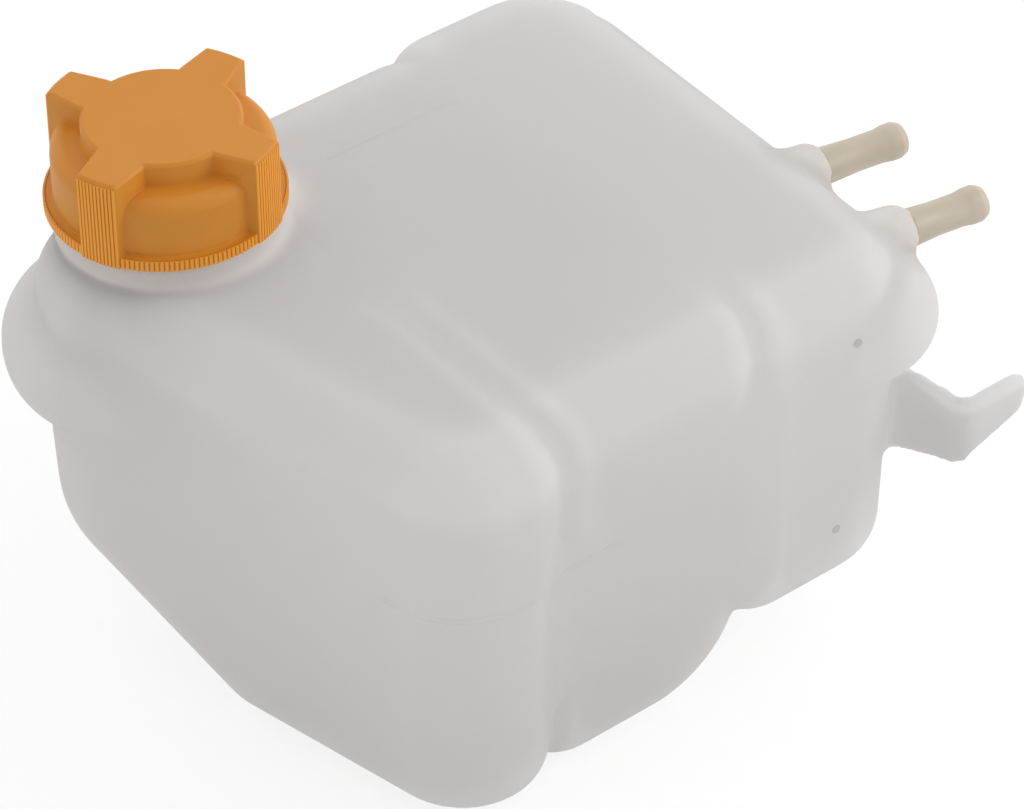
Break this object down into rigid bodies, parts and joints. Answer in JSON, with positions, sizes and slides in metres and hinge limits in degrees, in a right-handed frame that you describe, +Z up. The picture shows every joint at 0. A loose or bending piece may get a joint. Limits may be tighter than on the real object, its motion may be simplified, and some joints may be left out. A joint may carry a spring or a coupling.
{
  "type": "coolant expansion tank",
  "caption": "Translucent moulded coolant expansion tank with a rounded belt, screw pressure cap, bleed hose spigots, return outlet and hook.",
  "frame": {"origin": "on the foot of the middle lobe, which the tank stands on", "axes": "+X the way the bleed hoses leave, +Y towards the back wall with the return outlet, +Z up"},
  "size_m": [0.2295, 0.205, 0.1641],
  "materials": {
    "tank_plastic": "translucent natural",
    "spigot_plastic": "satin beige",
    "cap_plastic": "satin orange",
    "insert_plastic": "satin black",
    "seal_rubber": "matt",
    "spring_steel": "drawn wire",
    "valve_brass": "pressed"
  },
  "bodies": {
    "tank": {"tank_body": "tank_plastic", "bleed_spigot_rear": "spigot_plastic", "bleed_spigot_front": "spigot_plastic"},
    "insert": {"valve_housing": "insert_plastic", "neck_o_ring": "seal_rubber", "spring_cover": "insert_plastic", "pressure_spring": "spring_steel"},
    "cap": {"cap_shell": "cap_plastic"},
    "pressure_valve": {"pressure_plate": "valve_brass", "pressure_seal": "seal_rubber", "vacuum_spring": "spring_steel"},
    "vacuum_valve": {"vacuum_valve": "valve_brass", "vacuum_clip": "valve_brass"}
  },
  "joints": [
    {"name": "cap_lift", "type": "slide", "parent": "tank", "child": "insert", "axis": [0, 0, 1], "range_m": [0, 0.0101]},
    {"name": "cap_turn", "type": "hinge", "parent": "insert", "child": "cap", "pos_m": [-0.047, 0.05, 0.138], "axis": [0, 0, 1], "range_deg": [0, 900]},
    {"name": "pressure_lift", "type": "slide", "parent": "insert", "child": "pressure_valve", "axis": [0, 0, 1], "range_m": [0, 0.0025], "stiffness_N_per_m": 2500, "springref_m": -0.01, "deforming": ["pressure_spring"]},
    {"name": "vacuum_drop", "type": "slide", "parent": "pressure_valve", "child": "vacuum_valve", "axis": [0, 0, -1], "range_m": [0, 0.0015], "stiffness_N_per_m": 200, "springref_m": -0.004, "deforming": ["vacuum_spring"]}
  ],
  "couplings": [
    {"joint": "cap_lift", "follows": "cap_turn", "m_per_rad": 0.00063662}
  ]
}
